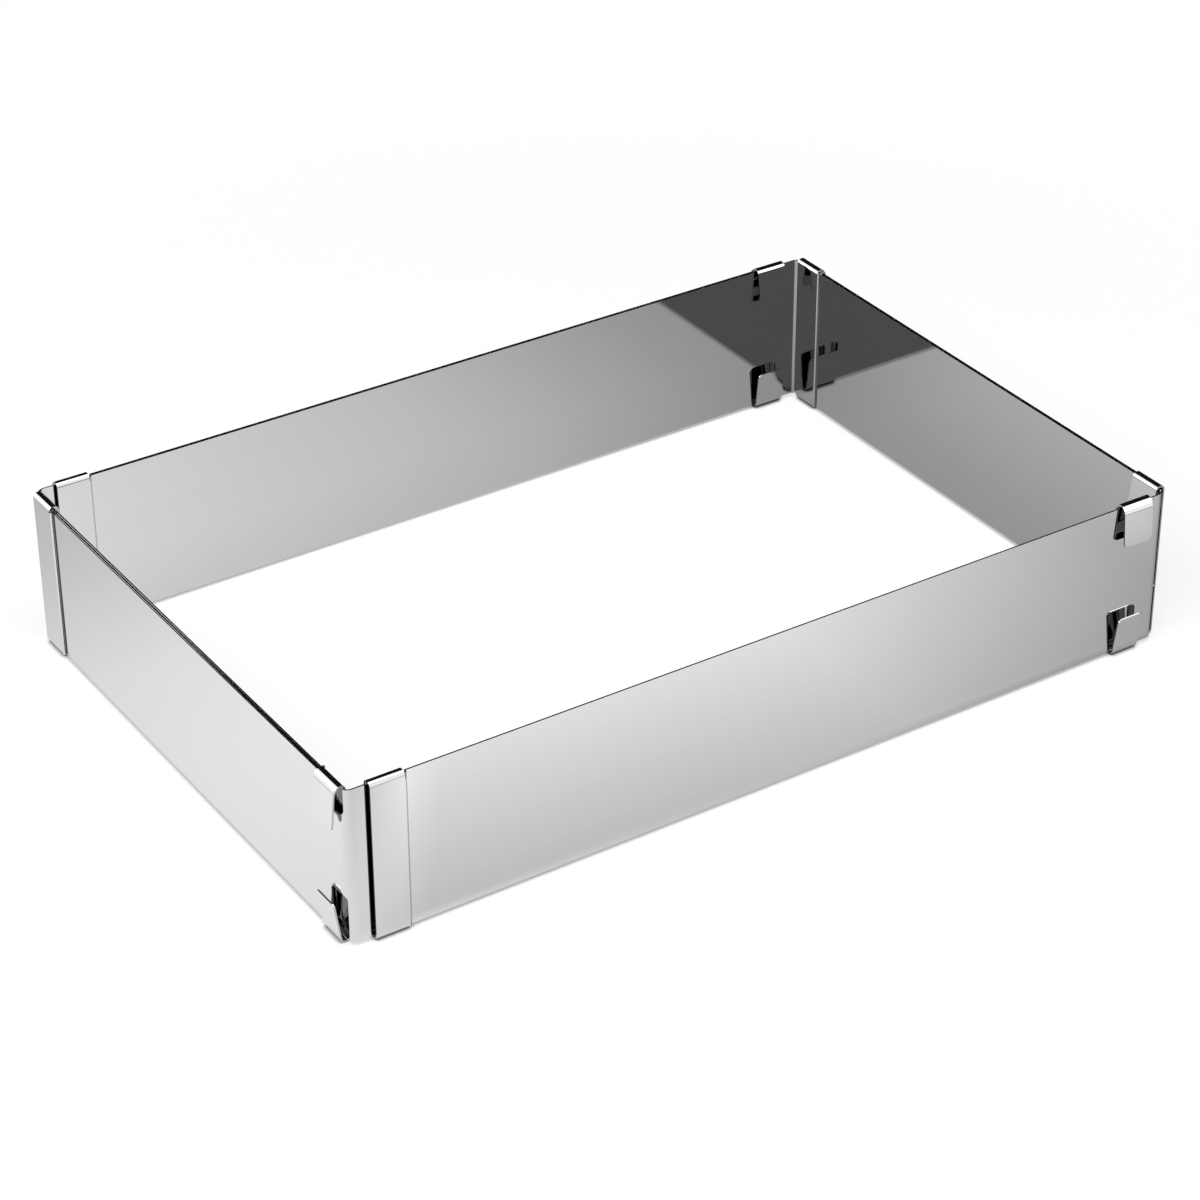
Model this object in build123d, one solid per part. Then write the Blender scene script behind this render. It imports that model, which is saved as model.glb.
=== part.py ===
from build123d import *
from math import acos, degrees, sin, radians
import os

# Adjustable cake frame: four bent sheets that slide in one another, in millimetres.
# X runs along the long sides, Y along the short ones. Z is up from the tray it stands on.

# Outer size over the flat sheets, as the photograph shows the frame.
frame_length = 280.0
frame_width = 186.0
wall_height = 50.0

# How much lower the top edge of the front left sheet is than the other three's.
low_top = 0.6

# Sheet steel and the play between two sheets that slide along each other.
sheet = 0.5
slide_gap = 0.3
corner_fold = 3.2

# Clasp: the end of an arm steps away from its neighbour and hooks over both its edges.
# On an arm that steps into the frame, the lower hook is cut narrower at its free edge.
hook_width = 10.6
low_hook_cut = 1.0
hook_side_gap = 0.15
hook_slot = 0.4
step_depth = 0.8
step_fold = 0.45
edge_gap = 0.4
lip_gap = 0.7
hook_fold = 1.5
lip_length = 12.1
lip_flare = 8.0
lip_corner = 1.4

# Place of each clasp and notch, from the outer face of the side that it points at.
clasp_inset_long = 7.4
clasp_inset_short = 2.6
notch_inset_long = 9.4
notch_inset_short = 2.1

# Notches. The far sides of those on the long arm lean in towards their open edges.
long_notch_width = 10.4
long_notch_top = 10.6
long_notch_bottom = 14.4
long_lean_top = 0.9
long_lean_bottom = 1.6
short_notch_width = 7.6
short_notch_top = 8.8
short_notch_bottom = 15.0
notch_corner = 1.6

# Sizes that follow from those above.
fold_mid = corner_fold - sheet / 2
hook_mid = hook_fold - sheet / 2
outer_inset = sheet / 2
inner_inset = sheet * 3 / 2 + slide_gap
step_angle = degrees(acos(1 - step_depth / (2 * step_fold)))
step_length = 2 * step_fold * sin(radians(step_angle))
strip_width = hook_width + hook_side_gap
hook_reach = 2 * sheet + step_depth + slide_gap + lip_gap
hook_rise = edge_gap + sheet
bottom = hook_rise
top = bottom + wall_height
middle = (bottom + top) / 2


def bent_band(start, heading, moves):
    """Face of one sheet seen edge-on: a straight run is (length,), a fold is (radius, angle)."""
    place, way = Vector(*start), Vector(*heading)
    path = []
    for move in moves:
        if len(move) == 1:
            piece = Line(place, place + way * move[0])
        else:
            piece = JernArc(place, way, move[0], move[1])
        path.append(piece)
        place, way = piece @ 1, piece % 1
    return trace(Curve() + path, line_width=sheet)


def wall(height, long_reach, short_reach, long_side, short_side):
    """Bent wall with both ends stepped aside; a side is 1 where the end steps into the frame."""
    long_run = long_reach - strip_width - step_length - fold_mid
    short_run = short_reach - strip_width - step_length - fold_mid
    moves = [
        (strip_width,),
        (step_fold, step_angle * long_side),
        (step_fold, -step_angle * long_side),
        (long_run,),
        (fold_mid, -90),
        (short_run,),
        (step_fold, -step_angle * short_side),
        (step_fold, step_angle * short_side),
        (strip_width,),
    ]
    start = (long_reach, step_depth * long_side)
    plan = bent_band(start, (-1, 0), moves)
    return extrude(Plane.XY.offset(bottom) * plan, amount=height)


def hook(width):
    """Upper hook and the strip that carries it, reaching over towards +X, with one side at Y zero."""
    moves = [
        (top + hook_rise - hook_fold - middle,),
        (hook_mid, -90),
        (hook_reach - 2 * hook_mid,),
        (hook_mid, lip_flare - 90),
        (lip_length,),
    ]
    body = extrude(Plane.XZ * bent_band((0, middle), (0, 1), moves), amount=-width)
    lip_end = body.faces().sort_by(Axis.X)[-1]
    short_edges = lip_end.edges().sort_by(SortBy.LENGTH)[:2]
    return fillet(short_edges, lip_corner)


def clasp(drop, cut):
    """Both hooks of an arm's end, with its free edge at Y zero; the neighbour's top is lower by drop."""
    lower = mirror(hook(hook_width - cut), about=Plane.XY.offset(middle))
    return Pos(0, 0, -drop) * hook(hook_width) + Pos(0, cut, 0) * lower


def room_for_hooks(drop):
    """What the strip gives up at its top and bottom, where the hooks take over."""
    cut_depth = hook_fold - edge_gap + hook_slot
    cutter = Box(hook_reach, strip_width, 2 * cut_depth, align=(Align.CENTER, Align.MIN, Align.CENTER))
    return Pos(0, 0, bottom) * cutter + Pos(0, 0, top - drop) * cutter


def notch(width, depth, lean):
    """Cutter for a notch up from an edge at Z zero, from Y zero to its far side, which may lean in."""
    corners = [(0, -depth), (0, depth), (width, depth), (width - 2 * lean, -depth)]
    outline = make_face(Polyline(*corners, close=True))
    outline = fillet(outline.vertices(), notch_corner)
    return extrude(Plane.YZ * outline, amount=corner_fold, both=True)


def notch_pair(width, top_depth, top_lean, bottom_depth, bottom_lean):
    """Cutters for the two notches, one over the other, that bare the neighbour's strip at its hooks."""
    upper = mirror(notch(width, top_depth, top_lean), about=Plane.XY)
    return Pos(0, 0, top) * upper + Pos(0, 0, bottom) * notch(width, bottom_depth, bottom_lean)


def corner_sheet(long_inset, short_inset, long_side, short_side, own_drop, long_drop, short_drop):
    """One L-shaped sheet, its mid-planes crossing at the origin, long arm along +X, short along +Y."""
    long_reach = frame_length - clasp_inset_long - short_inset
    short_reach = frame_width - clasp_inset_short - long_inset
    long_end = Location((long_reach, step_depth * long_side, 0), (0, 0, 90))
    short_end = Location((step_depth * short_side, short_reach, 0), (0, 0, 180))
    long_sizes = (long_notch_width, long_notch_top, long_lean_top, long_notch_bottom, long_lean_bottom)
    long_notches = Location((notch_inset_long - short_inset, 0, 0), (0, 0, -90)) * notch_pair(*long_sizes)
    short_notches = notch_pair(short_notch_width, short_notch_top, 0, short_notch_bottom, 0)
    short_notches = Location((0, notch_inset_short - long_inset, 0)) * short_notches
    body = wall(wall_height - own_drop, long_reach, short_reach, long_side, short_side)
    ends = ((long_end, long_side, long_side, long_drop), (short_end, -short_side, short_side, short_drop))
    for place, hand, side, drop in ends:
        hooks = clasp(drop, low_hook_cut if side > 0 else 0)
        if hand > 0:
            hooks = mirror(hooks, about=Plane.YZ)
        body = body - place * room_for_hooks(drop)
        body = body + place * hooks
    return body - long_notches - short_notches


def inner_long_sheet(own_drop):
    """Sheet for a front left corner, with its long arm inside its neighbour and its short arm outside."""
    body = corner_sheet(inner_inset, outer_inset, 1, -1, own_drop, 0, 0)
    return Pos(outer_inset - frame_length / 2, inner_inset - frame_width / 2, 0) * body


def outer_long_sheet(long_drop, short_drop):
    """Sheet for a front right corner, with its long arm outside its neighbour and its short arm inside."""
    body = mirror(corner_sheet(outer_inset, inner_inset, -1, 1, 0, long_drop, short_drop), about=Plane.YZ)
    return Pos(frame_length / 2 - inner_inset, outer_inset - frame_width / 2, 0) * body


half_turn = Rot(0, 0, 180)
nodes = {
    "front_left_corner": inner_long_sheet(low_top),
    "front_right_corner": outer_long_sheet(low_top, 0),
    "back_right_corner": half_turn * inner_long_sheet(0),
    "back_left_corner": half_turn * outer_long_sheet(0, low_top),
}

os.makedirs("parts", exist_ok=True)
for name, shape in nodes.items():
    export_step(shape, f"parts/{name}.step")
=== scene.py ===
import math

import bpy
from mathutils import Matrix, Vector
from mathutils.geometry import delaunay_2d_cdt


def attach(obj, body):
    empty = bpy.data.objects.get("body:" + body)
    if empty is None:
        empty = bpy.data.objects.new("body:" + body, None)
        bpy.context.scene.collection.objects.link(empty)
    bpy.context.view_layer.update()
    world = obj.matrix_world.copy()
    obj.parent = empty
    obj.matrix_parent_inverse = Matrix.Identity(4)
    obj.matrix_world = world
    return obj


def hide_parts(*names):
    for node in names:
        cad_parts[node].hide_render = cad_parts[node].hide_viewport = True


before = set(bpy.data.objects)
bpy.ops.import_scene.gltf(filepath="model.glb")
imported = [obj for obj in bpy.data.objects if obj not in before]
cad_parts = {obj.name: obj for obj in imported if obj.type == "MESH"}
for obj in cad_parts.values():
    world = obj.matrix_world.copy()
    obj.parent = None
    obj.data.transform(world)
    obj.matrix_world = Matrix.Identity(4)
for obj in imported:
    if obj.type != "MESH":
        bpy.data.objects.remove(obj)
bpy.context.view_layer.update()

scene = bpy.context.scene
mm = 0.001

# Front left sheet, of bright rolled stainless steel. It is stamped as a flat blank with a hook tab at
# each end and two pairs of notches, then stepped, hooked and folded once into an L. Its long arm runs
# inside one neighbour, its short arm outside the other, and only the hooks hold them together.
frame_length = 280.0 * mm
frame_width = 186.0 * mm
wall_height = 50.0 * mm
low_top = 0.6 * mm
sheet_thickness = 0.5 * mm
slide_gap = 0.3 * mm
corner_fold = 3.2 * mm
shear_rounding = 0.13 * mm

# Clasp at the end of an arm: a step aside, and a hook over each edge of the neighbour.
hook_width = 10.6 * mm
low_hook_cut = 1.0 * mm
hook_side_gap = 0.15 * mm
hook_slot = 0.4 * mm
step_depth = 0.8 * mm
step_fold = 0.3 * mm
edge_gap = 0.4 * mm
lip_gap = 0.7 * mm
hook_fold = 1.5 * mm
lip_length = 12.1 * mm
lip_flare = math.radians(8)
lip_corner = 1.4 * mm

# Softer bend of the upper hooks that reach out of the frame: how far it turns at the crown, and then
# the radius and flare with which it comes down.
soft_turn = math.radians(50)
soft_fold = 4.0 * mm
soft_flare = math.radians(5)

# Places of the clasps and notches along the arms. A notch's depth goes with how far its start leans in.
clasp_inset_long = 7.4 * mm
clasp_inset_short = 2.6 * mm
notch_inset_long = 9.4 * mm
notch_inset_short = 2.1 * mm
notch_widths = (10.4 * mm, 7.6 * mm)
top_notches = ((10.6 * mm, 0.9 * mm), (8.8 * mm, 0))
bottom_notches = ((14.4 * mm, 1.6 * mm), (15.0 * mm, 0))
notch_corner = 1.6 * mm

# Sizes that follow from those above.
half_height = wall_height / 2
quarter_turn = math.pi / 2
fold_mid = corner_fold - sheet_thickness / 2
hook_mid = hook_fold - sheet_thickness / 2
hook_rise = edge_gap + sheet_thickness
hook_reach = 2 * sheet_thickness + step_depth + slide_gap + lip_gap
outer_inset = sheet_thickness / 2
inner_inset = sheet_thickness * 3 / 2 + slide_gap
step_rise = step_depth - 2 * step_fold
step_length = 2 * step_fold
strip_width = hook_width + hook_side_gap
slot_height = half_height - (hook_fold - edge_gap + hook_slot)


def folded_line(start, heading, moves):
    """Mid-line of the steel seen edge-on: a straight run is (length,), a fold is (radius, angle)."""
    fold_step = math.radians(6)
    beside_fold = 0.25 * mm
    place, way = Vector(start), Vector(heading)
    points = [place]
    for move in moves:
        if len(move) == 1:
            run = move[0]
            stops = (beside_fold, run - beside_fold, run) if run > 3 * beside_fold else (run,)
            points += [place + way * stop for stop in stops]
        else:
            radius, angle = move
            centre = place + Vector((-way.y, way.x)) * math.copysign(radius, angle)
            steps = math.ceil(abs(angle) / fold_step)
            for step in range(1, steps + 1):
                points.append(centre + Matrix.Rotation(angle * step / steps, 2) @ (place - centre))
            way = Matrix.Rotation(angle, 2) @ way
        place = points[-1]
    return points


def flat_lengths(points):
    """How far along the flat blank each point of a folded line lies."""
    lengths = [0.0]
    for start, end in zip(points, points[1:]):
        lengths.append(lengths[-1] + (end - start).length)
    return lengths


def crease_places(points):
    """Where the blank needs a crease to follow a folded line: everywhere but at its two free ends."""
    return flat_lengths(points)[2:-2]


def guide_curve(name, points):
    """Curve that the blank is folded along."""
    data = bpy.data.curves.new(name, "CURVE")
    data.dimensions = "3D"
    spline = data.splines.new("POLY")
    spline.points.add(len(points) - 1)
    for spot, point in zip(spline.points, points):
        spot.co = (point.x, point.y, 0, 1)
    guide = bpy.data.objects.new(name, data)
    scene.collection.objects.link(guide)
    return guide


up_to_crown, over_crown = half_height + hook_rise - hook_fold, hook_reach - 2 * hook_mid
over_edge = [(up_to_crown,), (hook_mid, -quarter_turn), (over_crown,)]
crisp_bend = [(hook_mid, lip_flare - quarter_turn), (lip_length,)]
soft_angle = quarter_turn - soft_flare - soft_turn
soft_lip = lip_length + hook_mid * (quarter_turn - lip_flare - soft_turn) - soft_fold * soft_angle
soft_bend = [(hook_mid, -soft_turn), (soft_fold, -soft_angle), (soft_lip,)]
hook_line = folded_line((0, 0), (0, 1), over_edge + crisp_bend)
soft_line = folded_line((0, 0), (0, 1), over_edge + soft_bend)
hook_guide = guide_curve("hook_guide", hook_line)
soft_guide = guide_curve("soft_guide", soft_line)


def rounded_outline(corners):
    """Outline in the flat from corners (x, y, radius), each turned into an arc of that radius."""
    arc_steps = 6
    outline = []
    for index, (x, y, radius) in enumerate(corners):
        spot = Vector((x, y))
        if not radius:
            outline.append(spot)
            continue
        before = (Vector(corners[index - 1][:2]) - spot).normalized()
        after = (Vector(corners[(index + 1) % len(corners)][:2]) - spot).normalized()
        half_angle = before.angle(after) / 2
        run = radius / math.tan(half_angle)
        first, last = spot + before * run, spot + after * run
        centre = spot + (before + after).normalized() * radius / math.sin(half_angle)
        swing = (first - centre).angle_signed(last - centre)
        outline.append(first)
        for step in range(1, arc_steps):
            outline.append(centre + Matrix.Rotation(-swing * step / arc_steps, 2) @ (first - centre))
        outline.append(last)
    return outline


def hook_corners(near, edge, slot, tab):
    """Corners of a hook's tab and the slot beside it, from the free end of the sheet inwards."""
    corners = [(0, slot, 0), (near, slot, 0)] if near else []
    corners += [(near, tab, lip_corner), (hook_width, tab, lip_corner), (hook_width, slot, 0)]
    return corners + [(strip_width, slot, 0), (strip_width, edge, 0)]


def edge_corners(length, starts, depths, side, edge, hooks):
    """Corners along one long edge of the blank, at the top (side 1) or bottom (-1), from end to end."""
    near_hook, far_hook = hooks
    corners = list(near_hook)
    for start, width, (depth, lean) in zip(starts, notch_widths, depths):
        floor = side * (half_height - depth)
        corners += [(start + lean, edge, 0), (start, floor, notch_corner)]
        corners += [(start + width, floor, notch_corner), (start + width, edge, 0)]
    return corners + [(length - x, y, radius) for x, y, radius in reversed(far_hook)]


def is_inside(outline, point):
    """Whether a point of the flat lies inside the outline."""
    crossings = 0
    for start, end in zip(outline, outline[1:] + outline[:1]):
        if (start.y > point.y) != (end.y > point.y):
            crossings += point.x < start.x + (end.x - start.x) * (point.y - start.y) / (end.y - start.y)
    return crossings % 2 == 1


def bend_creases(plan, length, top_lines, ends):
    """Creases of the blank, from point to point, wherever the steel will bend."""
    creases = []
    for x in crease_places(plan):
        in_strip = min(x, length - x) < strip_width
        _, _, drop = ends[0] if x < length / 2 else ends[1]
        low, high = (-slot_height, slot_height - drop) if in_strip else (-half_height, half_height)
        creases.append(((x, low), (x, high)))
    for (_, cut, drop), line, far_end in zip(ends, top_lines, (False, True)):
        free, lower_free, root = (length - x if far_end else x for x in (0, cut, hook_width))
        creases += [((free, y - drop), (root, y - drop)) for y in crease_places(line)]
        creases += [((lower_free, -y), (root, -y)) for y in crease_places(hook_line)]
    return creases


def stamped_blank(name, plan, notch_starts, own_drop, ends):
    """Flat blank, creased where it will bend; each end has its hooks' reach, its cut and its drop."""
    length, tab = flat_lengths(plan)[-1], flat_lengths(hook_line)[-1]
    top_edge = half_height - own_drop
    top_lines = [soft_line if reach < 0 else hook_line for reach, _, _ in ends]
    top_hooks, low_hooks = [], []
    for (_, cut, drop), line in zip(ends, top_lines):
        top_hooks.append(hook_corners(0, top_edge, slot_height - drop, flat_lengths(line)[-1] - drop))
        low_hooks.append(hook_corners(cut, -half_height, -slot_height, -tab))
    top = edge_corners(length, notch_starts, top_notches, 1, top_edge, top_hooks)
    bottom = edge_corners(length, notch_starts, bottom_notches, -1, -half_height, low_hooks)
    outline = rounded_outline(bottom + top[::-1])

    spots = list(outline)
    edges = [(n, (n + 1) % len(outline)) for n in range(len(outline))]
    for start, end in bend_creases(plan, length, top_lines, ends):
        edges.append((len(spots), len(spots) + 1))
        spots += [Vector(start), Vector(end)]
    whole_hull, weld_distance = 0, 1e-7
    verts, _, faces, *_ = delaunay_2d_cdt(spots, edges, [], whole_hull, weld_distance)
    middles = [sum((verts[n] for n in face), Vector((0, 0))) / len(face) for face in faces]
    kept = [face for face, centre in zip(faces, middles) if is_inside(outline, centre)]
    used = sorted({n for face in kept for n in face})
    order = {n: index for index, n in enumerate(used)}
    mesh = bpy.data.meshes.new(name)
    flat_points = [(verts[n].x, verts[n].y, 0) for n in used]
    mesh.from_pydata(flat_points, [], [[order[n] for n in face] for face in kept])

    # On a tab, hook_reach is 1 or -1 for the side that the hook reaches to, and it is 0 on the wall.
    # In the upper half, hook_drop is how much lower than the others that end's hook sits.
    for title in ("hook_reach", "hook_drop"):
        mesh.attributes.new(title, "FLOAT", "POINT")
    reach, lowered = mesh.attributes["hook_reach"], mesh.attributes["hook_drop"]
    tab_end = strip_width - hook_side_gap / 2
    for vert in mesh.vertices:
        own_reach, _, drop = ends[0] if vert.co.x < length / 2 else ends[1]
        if min(vert.co.x, length - vert.co.x) < tab_end:
            reach.data[vert.index].value = own_reach
        if vert.co.y > 0:
            lowered.data[vert.index].value = drop
    return mesh


# A Mix node has its two inputs and its result three times over: as numbers, directions and colours.
mix_numbers, mixed_number = (2, 3), 0
mix_directions, mixed_direction = (4, 5), 1
mix_colours, mixed_colour = (6, 7), 2


def folding_tree():
    """Folds a flat blank: its length follows the plan guide, and its hook tabs follow the hook guides."""
    tree = bpy.data.node_groups.new("fold_sheet_blank", "GeometryNodeTree")
    hook_guides = ("Hook guide", "Soft hook guide")
    face = tree.interface
    face.new_socket("Blank", in_out="INPUT", socket_type="NodeSocketGeometry")
    for title in ("Plan guide", *hook_guides):
        face.new_socket(title, in_out="INPUT", socket_type="NodeSocketObject")
    face.new_socket("Steel", in_out="INPUT", socket_type="NodeSocketMaterial")
    face.new_socket("Folded sheet", in_out="OUTPUT", socket_type="NodeSocketGeometry")

    def node(kind, inputs, **settings):
        """Node with its settings; each input, by name or number, takes a value or another's output."""
        made = tree.nodes.new(kind)
        for key, value in settings.items():
            setattr(made, key, value)
        for slot, source in inputs.items():
            if isinstance(source, bpy.types.NodeSocket):
                tree.links.new(source, made.inputs[slot])
            else:
                made.inputs[slot].default_value = source
        return made

    def calculated(operation, *sources):
        return node("ShaderNodeMath", dict(enumerate(sources)), operation=operation).outputs["Value"]

    def vector(operation, *sources):
        made = node("ShaderNodeVectorMath", dict(enumerate(sources)), operation=operation)
        return made.outputs["Vector"]

    def blank_mark(title):
        mark = node("GeometryNodeInputNamedAttribute", {"Name": title}, data_type="FLOAT")
        return mark.outputs["Attribute"]

    def on_guide(title, distance):
        """Point of a guide, at a distance along it, with its direction there."""
        guide = node("GeometryNodeObjectInfo", {"Object": given.outputs[title]})
        inputs = {"Curves": guide.outputs["Geometry"], "Length": distance}
        return node("GeometryNodeSampleCurve", inputs, mode="LENGTH", use_all_curves=True)

    given, result = node("NodeGroupInput", {}), node("NodeGroupOutput", {})
    place = node("GeometryNodeInputPosition", {})
    flat = node("ShaderNodeSeparateXYZ", {"Vector": place.outputs["Position"]})
    flat_x, flat_y = flat.outputs["X"], flat.outputs["Y"]
    plan = on_guide("Plan guide", flat_x)

    # Each hook's tab follows a hook guide up or down from the middle of the wall, and the soft one only
    # where it reaches out of the frame over the top edge.
    drop, reach = blank_mark("hook_drop"), blank_mark("hook_reach")
    height = calculated("ABSOLUTE", calculated("ADD", flat_y, drop))
    up_or_down = calculated("SIGN", flat_y)
    reaches_out_above = calculated("LESS_THAN", calculated("MULTIPLY", reach, up_or_down), 0)
    tab_points = [on_guide(title, height).outputs["Position"] for title in hook_guides]
    hook_inputs = {"Factor": reaches_out_above, **dict(zip(mix_directions, tab_points))}
    hook = node("ShaderNodeMix", hook_inputs, data_type="VECTOR").outputs[mixed_direction]
    section = node("ShaderNodeSeparateXYZ", {"Vector": hook})
    across = calculated("MULTIPLY", reach, section.outputs["X"])
    hook_height = calculated("SUBTRACT", calculated("MULTIPLY", section.outputs["Y"], up_or_down), drop)

    # The rest of the sheet keeps its height from the blank and only follows the plan guide.
    is_hook = calculated("ABSOLUTE", reach)
    lift_inputs = {"Factor": is_hook, **dict(zip(mix_numbers, (flat_y, hook_height)))}
    lift = node("ShaderNodeMix", lift_inputs, data_type="FLOAT").outputs[mixed_number]
    rise = node("ShaderNodeCombineXYZ", {"Z": lift}).outputs["Vector"]
    inward = vector("CROSS_PRODUCT", plan.outputs["Tangent"], (0, 0, 1))
    aside = node("ShaderNodeVectorMath", {0: inward, "Scale": across}, operation="SCALE")
    beside_plan = vector("ADD", plan.outputs["Position"], aside.outputs["Vector"])
    folded = vector("ADD", beside_plan, rise)

    move = node("GeometryNodeSetPosition", {"Geometry": given.outputs["Blank"], "Position": folded})
    real = node("GeometryNodeRealizeInstances", {"Geometry": move.outputs["Geometry"]})
    finish_inputs = {"Geometry": real.outputs["Geometry"], "Material": given.outputs["Steel"]}
    finish = node("GeometryNodeSetMaterial", finish_inputs)
    tree.links.new(finish.outputs["Geometry"], result.inputs["Folded sheet"])
    return tree


def rolled_grain():
    """Marks that the mill leaves: fine streaks along the sheet, cloudy patches and a slow unevenness."""
    group = bpy.data.node_groups.new("rolled_grain", "ShaderNodeTree")
    face = group.interface
    for title, value in (("Streak depth", 0.5), ("Cloud depth", 0.5), ("Base roughness", 0.12)):
        face.new_socket(title, in_out="INPUT", socket_type="NodeSocketFloat").default_value = value
    for title in ("Light", "Dark"):
        face.new_socket(title, in_out="INPUT", socket_type="NodeSocketColor")
    face.new_socket("Color", in_out="OUTPUT", socket_type="NodeSocketColor")
    face.new_socket("Roughness", in_out="OUTPUT", socket_type="NodeSocketFloat")
    face.new_socket("Height", in_out="OUTPUT", socket_type="NodeSocketFloat")
    nodes, links = group.nodes, group.links
    given, result = nodes.new("NodeGroupInput"), nodes.new("NodeGroupOutput")
    on_piece = nodes.new("ShaderNodeTexCoord").outputs["Object"]

    def noise(source, scale, detail, roughness):
        pattern = nodes.new("ShaderNodeTexNoise")
        pattern.inputs["Scale"].default_value = scale
        pattern.inputs["Detail"].default_value = detail
        pattern.inputs["Roughness"].default_value = roughness
        links.new(source, pattern.inputs["Vector"])
        return pattern.outputs["Fac"]

    def multiply_add(value, factor, extra):
        step = nodes.new("ShaderNodeMath")
        step.operation = "MULTIPLY_ADD"
        links.new(value, step.inputs[0])
        if isinstance(factor, float):
            step.inputs[1].default_value = factor
        else:
            links.new(factor, step.inputs[1])
        links.new(extra, step.inputs[2])
        return step.outputs["Value"]

    streak_stretch = (7, 7, 1400)
    cloud_share = 0.45
    streak_relief = 0.004
    stretch = nodes.new("ShaderNodeMapping")
    stretch.inputs["Scale"].default_value = streak_stretch
    links.new(on_piece, stretch.inputs["Vector"])
    streak = noise(stretch.outputs["Vector"], scale=1, detail=4, roughness=0.6)
    cloud = noise(on_piece, scale=22, detail=3, roughness=0.55)
    sway = noise(on_piece, scale=9, detail=1, roughness=0.5)

    marks = nodes.new("ShaderNodeMix")
    marks.data_type = "FLOAT"
    marks.inputs["Factor"].default_value = cloud_share
    tone = nodes.new("ShaderNodeMix")
    tone.data_type = "RGBA"
    for slot, source in zip(mix_numbers, (streak, cloud)):
        links.new(source, marks.inputs[slot])
    for slot, title in zip(mix_colours, ("Dark", "Light")):
        links.new(given.outputs[title], tone.inputs[slot])
    links.new(marks.outputs[mixed_number], tone.inputs["Factor"])
    links.new(tone.outputs[mixed_colour], result.inputs["Color"])

    haze = multiply_add(cloud, given.outputs["Cloud depth"], given.outputs["Base roughness"])
    links.new(multiply_add(streak, given.outputs["Streak depth"], haze), result.inputs["Roughness"])
    links.new(multiply_add(streak, streak_relief, sway), result.inputs["Height"])
    return group


grain_group = rolled_grain()


def steel(name, light, dark, roughness, streak_depth, cloud_depth, unevenness):
    """Bare stainless steel; unevenness is how deep its slow waves are, in metres."""
    material = bpy.data.materials.new(name)
    material.use_nodes = True
    nodes, links = material.node_tree.nodes, material.node_tree.links
    shader = nodes["Principled BSDF"]
    shader.inputs["Metallic"].default_value = 1.0
    grain = nodes.new("ShaderNodeGroup")
    grain.node_tree = grain_group
    grain.inputs["Light"].default_value = (*light, 1)
    grain.inputs["Dark"].default_value = (*dark, 1)
    grain.inputs["Base roughness"].default_value = roughness
    grain.inputs["Streak depth"].default_value = streak_depth
    grain.inputs["Cloud depth"].default_value = cloud_depth
    links.new(grain.outputs["Color"], shader.inputs["Base Color"])
    links.new(grain.outputs["Roughness"], shader.inputs["Roughness"])
    bump = nodes.new("ShaderNodeBump")
    bump.inputs["Strength"].default_value = 1.0
    bump.inputs["Distance"].default_value = unevenness
    links.new(grain.outputs["Height"], bump.inputs["Height"])
    links.new(bump.outputs["Normal"], shader.inputs["Normal"])
    return material


rolled_steel = steel(
    "rolled_steel", light=(0.83, 0.83, 0.835), dark=(0.77, 0.77, 0.775),
    roughness=0.02, streak_depth=0.02, cloud_depth=0.02, unevenness=0.08 * mm,
)
sheared_edge = steel(
    "sheared_edge", light=(0.6, 0.6, 0.605), dark=(0.52, 0.52, 0.525),
    roughness=0.05, streak_depth=0.03, cloud_depth=0.02, unevenness=0.02 * mm,
)
fold_tree = folding_tree()


def plain_mesh(piece):
    """The piece as it stands under its modifiers, as a mesh of its own."""
    return bpy.data.meshes.new_from_object(piece.evaluated_get(bpy.context.evaluated_depsgraph_get()))


def step_aside(turn):
    """Step near the end of an arm: two tight folds with a short straight rise between them."""
    return [(step_fold, turn), (step_rise,), (step_fold, -turn)]


def sheet_plan(insets, sides):
    """Plan of the sheet, end to end, and how far along the blank its two pairs of notches start."""
    (long_inset, short_inset), (long_side, short_side) = insets, sides
    long_reach = frame_length - clasp_inset_long - short_inset
    short_reach = frame_width - clasp_inset_short - long_inset
    long_run = long_reach - strip_width - step_length - fold_mid
    short_run = short_reach - strip_width - step_length - fold_mid
    long_moves = [(strip_width,)] + step_aside(quarter_turn * long_side) + [(long_run,)]
    up_to_fold = long_moves + [(fold_mid, -quarter_turn)]
    all_moves = up_to_fold + [(short_run,)] + step_aside(-quarter_turn * short_side) + [(strip_width,)]
    start, heading = (long_reach, step_depth * long_side), (-1, 0)
    long_end = flat_lengths(folded_line(start, heading, long_moves))[-1]
    fold_end = flat_lengths(folded_line(start, heading, up_to_fold))[-1]
    long_notch = long_end + fold_mid - (notch_inset_long - short_inset) - notch_widths[0]
    into_fold = fold_mid * math.asin(1 - (notch_inset_short - long_inset) / fold_mid)
    return folded_line(start, heading, all_moves), (long_notch, fold_end - into_fold)


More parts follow.
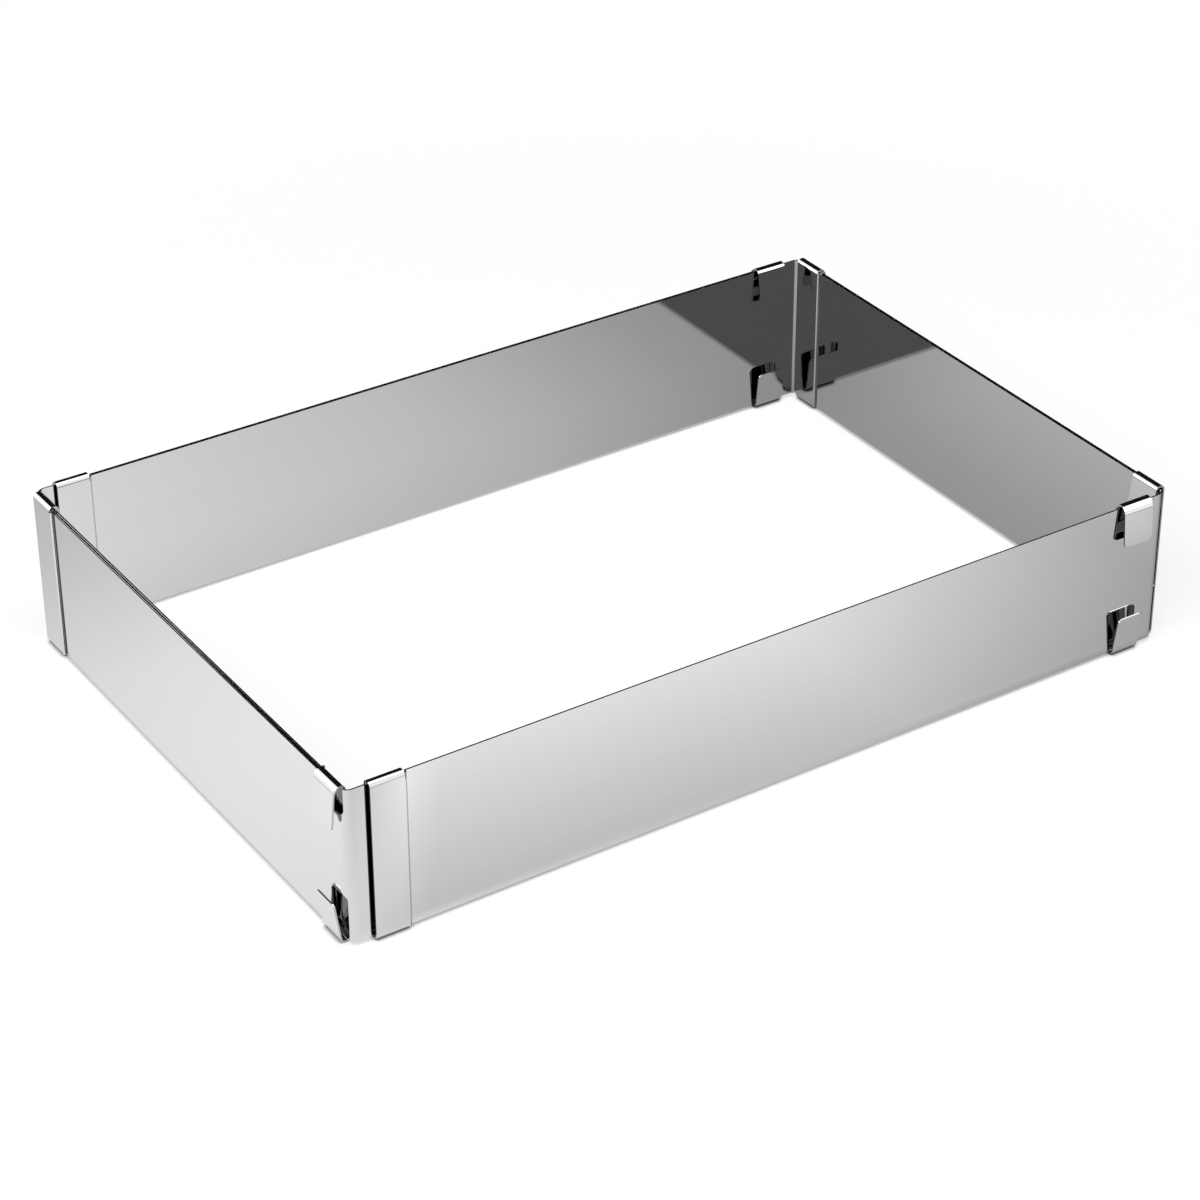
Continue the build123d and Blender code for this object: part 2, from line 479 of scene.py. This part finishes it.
def folded_sheet(name, insets, sides, own_drop, drops, placing):
    """One L-shaped sheet; a side is 1 where that end steps into the frame and its hooks reach out."""
    plan, notch_starts = sheet_plan(insets, sides)
    guide = guide_curve(name + "_guide", plan)
    ends = [(-side, low_hook_cut if side > 0 else 0, drop) for side, drop in zip(sides, drops)]
    piece = bpy.data.objects.new(name, stamped_blank(name, plan, notch_starts, own_drop, ends))
    scene.collection.objects.link(piece)
    folding = piece.modifiers.new("folding", "NODES")
    folding.node_group = fold_tree
    sockets = {s.name: s.identifier for s in fold_tree.interface.items_tree if s.in_out == "INPUT"}
    folding[sockets["Plan guide"]] = guide
    folding[sockets["Hook guide"]] = hook_guide
    folding[sockets["Soft hook guide"]] = soft_guide
    folding[sockets["Steel"]] = rolled_steel
    piece.data = plain_mesh(piece)
    piece.modifiers.clear()
    bpy.data.objects.remove(guide)
    piece.data.transform(placing)
    if placing.determinant() < 0:
        piece.data.flip_normals()

    piece.data.materials.append(sheared_edge)
    piece.data.shade_smooth()
    gauge = piece.modifiers.new("gauge", "SOLIDIFY")
    gauge.thickness = sheet_thickness
    gauge.offset = 0
    gauge.use_even_offset = True
    gauge.material_offset_rim = 1
    rounding = piece.modifiers.new("shear_rounding", "BEVEL")
    rounding.width = shear_rounding
    rounding.segments = 2
    rounding.limit_method = "ANGLE"
    rounding.angle_limit = math.radians(60)
    rounding.material = 1
    shading = piece.modifiers.new("shading", "WEIGHTED_NORMAL")
    shading.weight = 100
    piece.data = plain_mesh(piece)
    piece.modifiers.clear()
    return piece


middle = hook_rise + half_height
front_left_corner = Vector((outer_inset - frame_length / 2, inner_inset - frame_width / 2, middle))
front_left_placing = Matrix.Translation(front_left_corner)
inner_long = ((inner_inset, outer_inset), (1, -1))
front_left_sheet = folded_sheet(
    "front_left_sheet", *inner_long, own_drop=low_top, drops=(0, 0), placing=front_left_placing
)
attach(front_left_sheet, "front_left")
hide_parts("front_left_corner")

# Front right sheet, stamped and folded from the same steel as the mirror hand of the first. Its long arm
# runs outside its neighbour and its short arm inside. It hooks onto the front left sheet's long arm.
front_right_corner = Vector((frame_length / 2 - inner_inset, outer_inset - frame_width / 2, middle))
front_right_placing = Matrix.Translation(front_right_corner) @ Matrix.Scale(-1, 4, (1, 0, 0))
outer_long = ((outer_inset, inner_inset), (-1, 1))
front_right_sheet = folded_sheet(
    "front_right_sheet", *outer_long, own_drop=0, drops=(low_top, 0), placing=front_right_placing
)
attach(front_right_sheet, "front_right")
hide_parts("front_right_corner")

# Back right sheet, of the same steel and the same hand as the front left one, turned half round. It
# hooks over the front right sheet's short arm, and slides along it.
half_turn = Matrix.Rotation(math.pi, 4, "Z")
back_right_placing = half_turn @ front_left_placing
back_right_sheet = folded_sheet(
    "back_right_sheet", *inner_long, own_drop=0, drops=(0, 0), placing=back_right_placing
)
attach(back_right_sheet, "back_right")
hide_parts("back_right_corner")

# Back left sheet, of the same steel and the same hand as the front right one, turned half round. It
# closes the ring: its arms hook onto the back right and the front left sheets.
back_left_placing = half_turn @ front_right_placing
back_left_sheet = folded_sheet(
    "back_left_sheet", *outer_long, own_drop=0, drops=(0, low_top), placing=back_left_placing
)
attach(back_left_sheet, "back_left")
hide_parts("back_left_corner")
bpy.data.objects.remove(hook_guide)
bpy.data.objects.remove(soft_guide)

# Table: a plain white sheet that runs out of sight on every side. It shows white to the lens, and still
# takes the frame's shadow. In the steel it glows, with painted pools of light and painted shade.
table_half = 3.0
table_mesh = bpy.data.meshes.new("table_top")
table_corners = [(x * table_half, y * table_half, 0) for x, y in ((-1, -1), (1, -1), (1, 1), (-1, 1))]
table_mesh.from_pydata(table_corners, [], [(0, 1, 2, 3)])
table_top = bpy.data.objects.new("table_top", table_mesh)
scene.collection.objects.link(table_top)
table_white = bpy.data.materials.new("table_white")
table_white.use_nodes = True
table_tree = table_white.node_tree
paper = table_tree.nodes["Principled BSDF"]
paper.inputs["Base Color"].default_value = (0.9, 0.9, 0.9, 1)
paper.inputs["Roughness"].default_value = 0.9
paper.inputs["Specular IOR Level"].default_value = 0.0
glow = table_tree.nodes.new("ShaderNodeEmission")
rays = table_tree.nodes.new("ShaderNodeLightPath")
reflections = rays.outputs["Glossy Depth"]
on_table = table_tree.nodes.new("ShaderNodeTexCoord").outputs["Object"]
place = table_tree.nodes.new("ShaderNodeSeparateXYZ")
table_tree.links.new(on_table, place.inputs["Vector"])
to_right, to_back = place.outputs["X"], place.outputs["Y"]


def even_change(tree, source, span, levels):
    """Value that goes evenly from one level to the other as the source crosses the span."""
    ramp = tree.nodes.new("ShaderNodeMapRange")
    for socket, value in zip(ramp.inputs[1:5], (*span, *levels)):
        socket.default_value = value
    tree.links.new(source, ramp.inputs[0])
    return ramp.outputs["Result"]


def combined(tree, operation, first, second):
    """Product of two values, or the larger one of them."""
    step = tree.nodes.new("ShaderNodeMath")
    step.operation = operation
    tree.links.new(first, step.inputs[0])
    tree.links.new(second, step.inputs[1])
    return step.outputs["Value"]


def table_blend(share, first, second):
    """Value that goes from the first to the second as the share grows."""
    blended = table_tree.nodes.new("ShaderNodeMix")
    blended.data_type = "FLOAT"
    for slot, source in zip(("Factor", *mix_numbers), (share, first, second)):
        table_tree.links.new(source, blended.inputs[slot])
    return blended.outputs[mixed_number]


def table_measure(operation, other):
    """How far a point of the table is from another, or how far it lies along a direction."""
    measure = table_tree.nodes.new("ShaderNodeVectorMath")
    measure.operation = operation
    measure.inputs[1].default_value = other
    table_tree.links.new(on_table, measure.inputs[0])
    return measure.outputs["Value"]


def painted_light_pool(centre, level, radius):
    """Painted brightness that falls off evenly from the middle of a pool of light, as a lamp's would."""
    return even_change(table_tree, table_measure("DISTANCE", centre), (0, radius), (level, 0))


# At the left, a painted pool of light, like the main lamp's, thins out towards the back and the right.
back_fall = even_change(table_tree, to_back, (0.06, 0.14), (1.0, 0.83))
right_fall = even_change(table_tree, to_right, (0.03, 0.12), (1.0, 0.86))
side_fall = combined(table_tree, "MULTIPLY", back_fall, right_fall)
painted_main_pool = painted_light_pool((-0.22, -0.015, 0), level=1.045, radius=0.6)
painted_side_pool = combined(table_tree, "MULTIPLY", painted_main_pool, side_fall)

# In front, the painted glow dims towards the frame and the right, and is lightest by the near corner.
front_depth = even_change(table_tree, to_back, (-0.16, -0.1), (0.93, 0.645))
front_side = even_change(table_tree, to_right, (0.05, 0.165), (1.0, 0.6))
along_front = table_measure("DOT_PRODUCT", (1, 0.65, 0))
beside_corner = even_change(table_tree, along_front, (-0.187, -0.175), (1.12, 1.0))
front_level = combined(table_tree, "MULTIPLY", front_depth, front_side)
painted_front_pool = combined(table_tree, "MULTIPLY", front_level, beside_corner)
past_corner = even_change(table_tree, along_front, (-0.203, -0.188), (0, 1))
before_frame = even_change(table_tree, to_back, (-0.097, -0.094), (1, 0))
is_front = combined(table_tree, "MULTIPLY", past_corner, before_frame)

# A small painted pool of light at the front right shows in the right corner's lips. Far out, all is
# white.
painted_lip_pool = painted_light_pool((0.185, -0.205, 0), level=0.89, radius=0.13)
pools = table_blend(is_front, painted_side_pool, painted_front_pool)
near_light = combined(table_tree, "MAXIMUM", pools, painted_lip_pool)
from_centre = table_measure("DISTANCE", (0, 0, 0))
far_light = even_change(table_tree, from_centre, (0.28, 0.46), (0, 1.15))
seen_once = combined(table_tree, "MAXIMUM", near_light, far_light)

# Painted shade: seen by way of two sheets the table's glow is painted dark, and by way of three it is a
# little lighter in the hollows of the near corner.
twice_level, often_level = 0.1, 0.33
from_second = even_change(table_tree, reflections, (1, 2), (0, 1))
from_third = even_change(table_tree, reflections, (2, 3), (0, 1))
from_near_corner = table_measure("DISTANCE", (-0.14, -0.093, 0))
near_corner = even_change(table_tree, from_near_corner, (0.068, 0.16), (1, 0))
is_hollow = combined(table_tree, "MULTIPLY", from_third, near_corner)
painted_shade_seen_again = even_change(table_tree, is_hollow, (0, 1), (twice_level, often_level))
in_steel = table_blend(from_second, seen_once, painted_shade_seen_again)

# A thin dark line of shadow lies where the steel almost touches the table.
contact = table_tree.nodes.new("ShaderNodeAmbientOcclusion")
contact.inputs["Distance"].default_value = 1.8 * mm
contact.samples = 8
contact_level = even_change(table_tree, contact.outputs["AO"], (0.3, 0.85), (0.05, 1.0))
steel_level = combined(table_tree, "MULTIPLY", in_steel, contact_level)
level = table_blend(rays.outputs["Is Glossy Ray"], contact_level, steel_level)
table_tree.links.new(level, glow.inputs["Strength"])

# Near the frame, part of the white that the lens sees is plain lit paper, which takes the soft shadow.
shadow_end = even_change(table_tree, from_centre, (0.22, 0.4), (0.7, 1.0))
shown_white = combined(table_tree, "MULTIPLY", shadow_end, rays.outputs["Is Camera Ray"])
white_share = combined(table_tree, "MAXIMUM", shown_white, rays.outputs["Is Glossy Ray"])
surface = table_tree.nodes.new("ShaderNodeMixShader")
table_tree.links.new(white_share, surface.inputs["Fac"])
table_tree.links.new(paper.outputs["BSDF"], surface.inputs[1])
table_tree.links.new(glow.outputs["Emission"], surface.inputs[2])
table_tree.links.new(surface.outputs["Shader"], table_tree.nodes["Material Output"].inputs["Surface"])
table_mesh.materials.append(table_white)

# Room: white for the lens and in the steel, with painted shade where one sheet shows it by way of
# another, and a plain grey fill for the light that it gives.
fill_level = 0.45
room = bpy.data.worlds.new("room")
scene.world = room
room.use_nodes = True
room_tree = room.node_tree
backdrop = room_tree.nodes["Background"]
backdrop.inputs["Color"].default_value = (1, 1, 1, 1)
room_rays = room_tree.nodes.new("ShaderNodeLightPath").outputs
shown = combined(room_tree, "MAXIMUM", room_rays["Is Camera Ray"], room_rays["Is Glossy Ray"])
painted_reflection_shade = even_change(room_tree, room_rays["Glossy Depth"], (1, 2), (1.0, 0.1))
room_level = even_change(room_tree, shown, (0, 1), (fill_level, 1.0))
room_tree.links.new(painted_reflection_shade, room_level.node.inputs["To Max"])
room_tree.links.new(room_level, backdrop.inputs["Strength"])


# Softboxes: four soft lamps around the frame, out of the lens's sight, the strongest at the left. The
# steel shows each up to the second reflection, so that none sparkles in the hollows of the hooks.
def softbox(name, stand, target, width, depth, power):
    """Lamp with a square front, turned to face a point."""
    lamp = bpy.data.lights.new(name, "AREA")
    lamp.shape = "RECTANGLE"
    lamp.size = width
    lamp.size_y = depth
    lamp.energy = power
    lamp.use_nodes = True
    lamp_rays = lamp.node_tree.nodes.new("ShaderNodeLightPath")
    fade = even_change(lamp.node_tree, lamp_rays.outputs["Glossy Depth"], (2, 3), (1, 0))
    lamp.node_tree.links.new(fade, lamp.node_tree.nodes["Emission"].inputs["Strength"])
    box = bpy.data.objects.new(name, lamp)
    box.location = stand
    box.rotation_euler = (Vector(target) - Vector(stand)).to_track_quat("-Z", "Y").to_euler()
    scene.collection.objects.link(box)


softbox("key_softbox", (-0.75, -0.35, 0.95), (-0.15, 0, 0), width=0.8, depth=0.6, power=9.0)
softbox("top_softbox", (0.1, -0.25, 1.3), (0, 0, 0), width=0.7, depth=0.7, power=5.0)
softbox("front_softbox", (0.68, -0.74, 0.62), (0, 0, 0), width=0.5, depth=0.8, power=2.5)
softbox("back_softbox", (-0.82, 1.0, 0.5), (0, 0, 0), width=0.6, depth=0.6, power=2.5)

# Black card, bent round the back of the set. The lens never sees it; only the steel does, on the faces
# that look up. Its corners are given by their bearing from the back and their height, as angles.
card_distance = 1.5
card_bearings = (-0.2, 0.1, 0.4, 0.7, 1.0, 1.3, 1.6, 1.9)
card_elevations = (0.01, 0.4, 0.8, 1.15)
card_corners = []
for elevation in card_elevations:
    for bearing in card_bearings:
        out = card_distance * math.cos(elevation)
        spot = (out * math.sin(bearing), out * math.cos(bearing), card_distance * math.sin(elevation))
        card_corners.append(spot)
card_row = len(card_bearings)
card_faces = []
for row in range(len(card_elevations) - 1):
    for column in range(card_row - 1):
        n = row * card_row + column
        card_faces.append((n, n + 1, n + card_row + 1, n + card_row))
card_mesh = bpy.data.meshes.new("black_card")
card_mesh.from_pydata(card_corners, [], card_faces)
black_card = bpy.data.objects.new("black_card", card_mesh)
scene.collection.objects.link(black_card)
card_black = bpy.data.materials.new("card_black")
card_black.use_nodes = True
card_black.node_tree.nodes["Principled BSDF"].inputs["Base Color"].default_value = (0.01, 0.01, 0.01, 1)
card_black.node_tree.nodes["Principled BSDF"].inputs["Specular IOR Level"].default_value = 0.0
card_mesh.materials.append(card_black)
black_card.visible_camera = False
black_card.visible_diffuse = False
black_card.visible_shadow = False

# Camera, at the photograph's place and with its lens. Its place is measured from the foot of the near
# corner, and its turn is given by which ways are right and up in the picture.
photo_width = 1200
focal_pixels = 3532.06
sensor_width = 36.0
camera_right = Vector((0.8365093, -0.5479411, -0.003579))
camera_up = Vector((0.2925129, 0.44102, 0.8484913))
camera_back = camera_right.cross(camera_up)
corner_to_lens = Vector((-353.08, -663.56, 575.38)) * mm
near_foot = Vector((-frame_length / 2, -frame_width / 2, hook_rise))
lens = bpy.data.cameras.new("photo_camera")
lens.sensor_width = sensor_width
lens.lens = focal_pixels / photo_width * sensor_width
lens.dof.use_dof = False
camera = bpy.data.objects.new("photo_camera", lens)
camera_turn = Matrix((camera_right, camera_up, camera_back)).transposed().to_4x4()
camera.matrix_world = Matrix.Translation(near_foot + corner_to_lens) @ camera_turn
scene.collection.objects.link(camera)
scene.camera = camera
scene.view_settings.view_transform = "Standard"
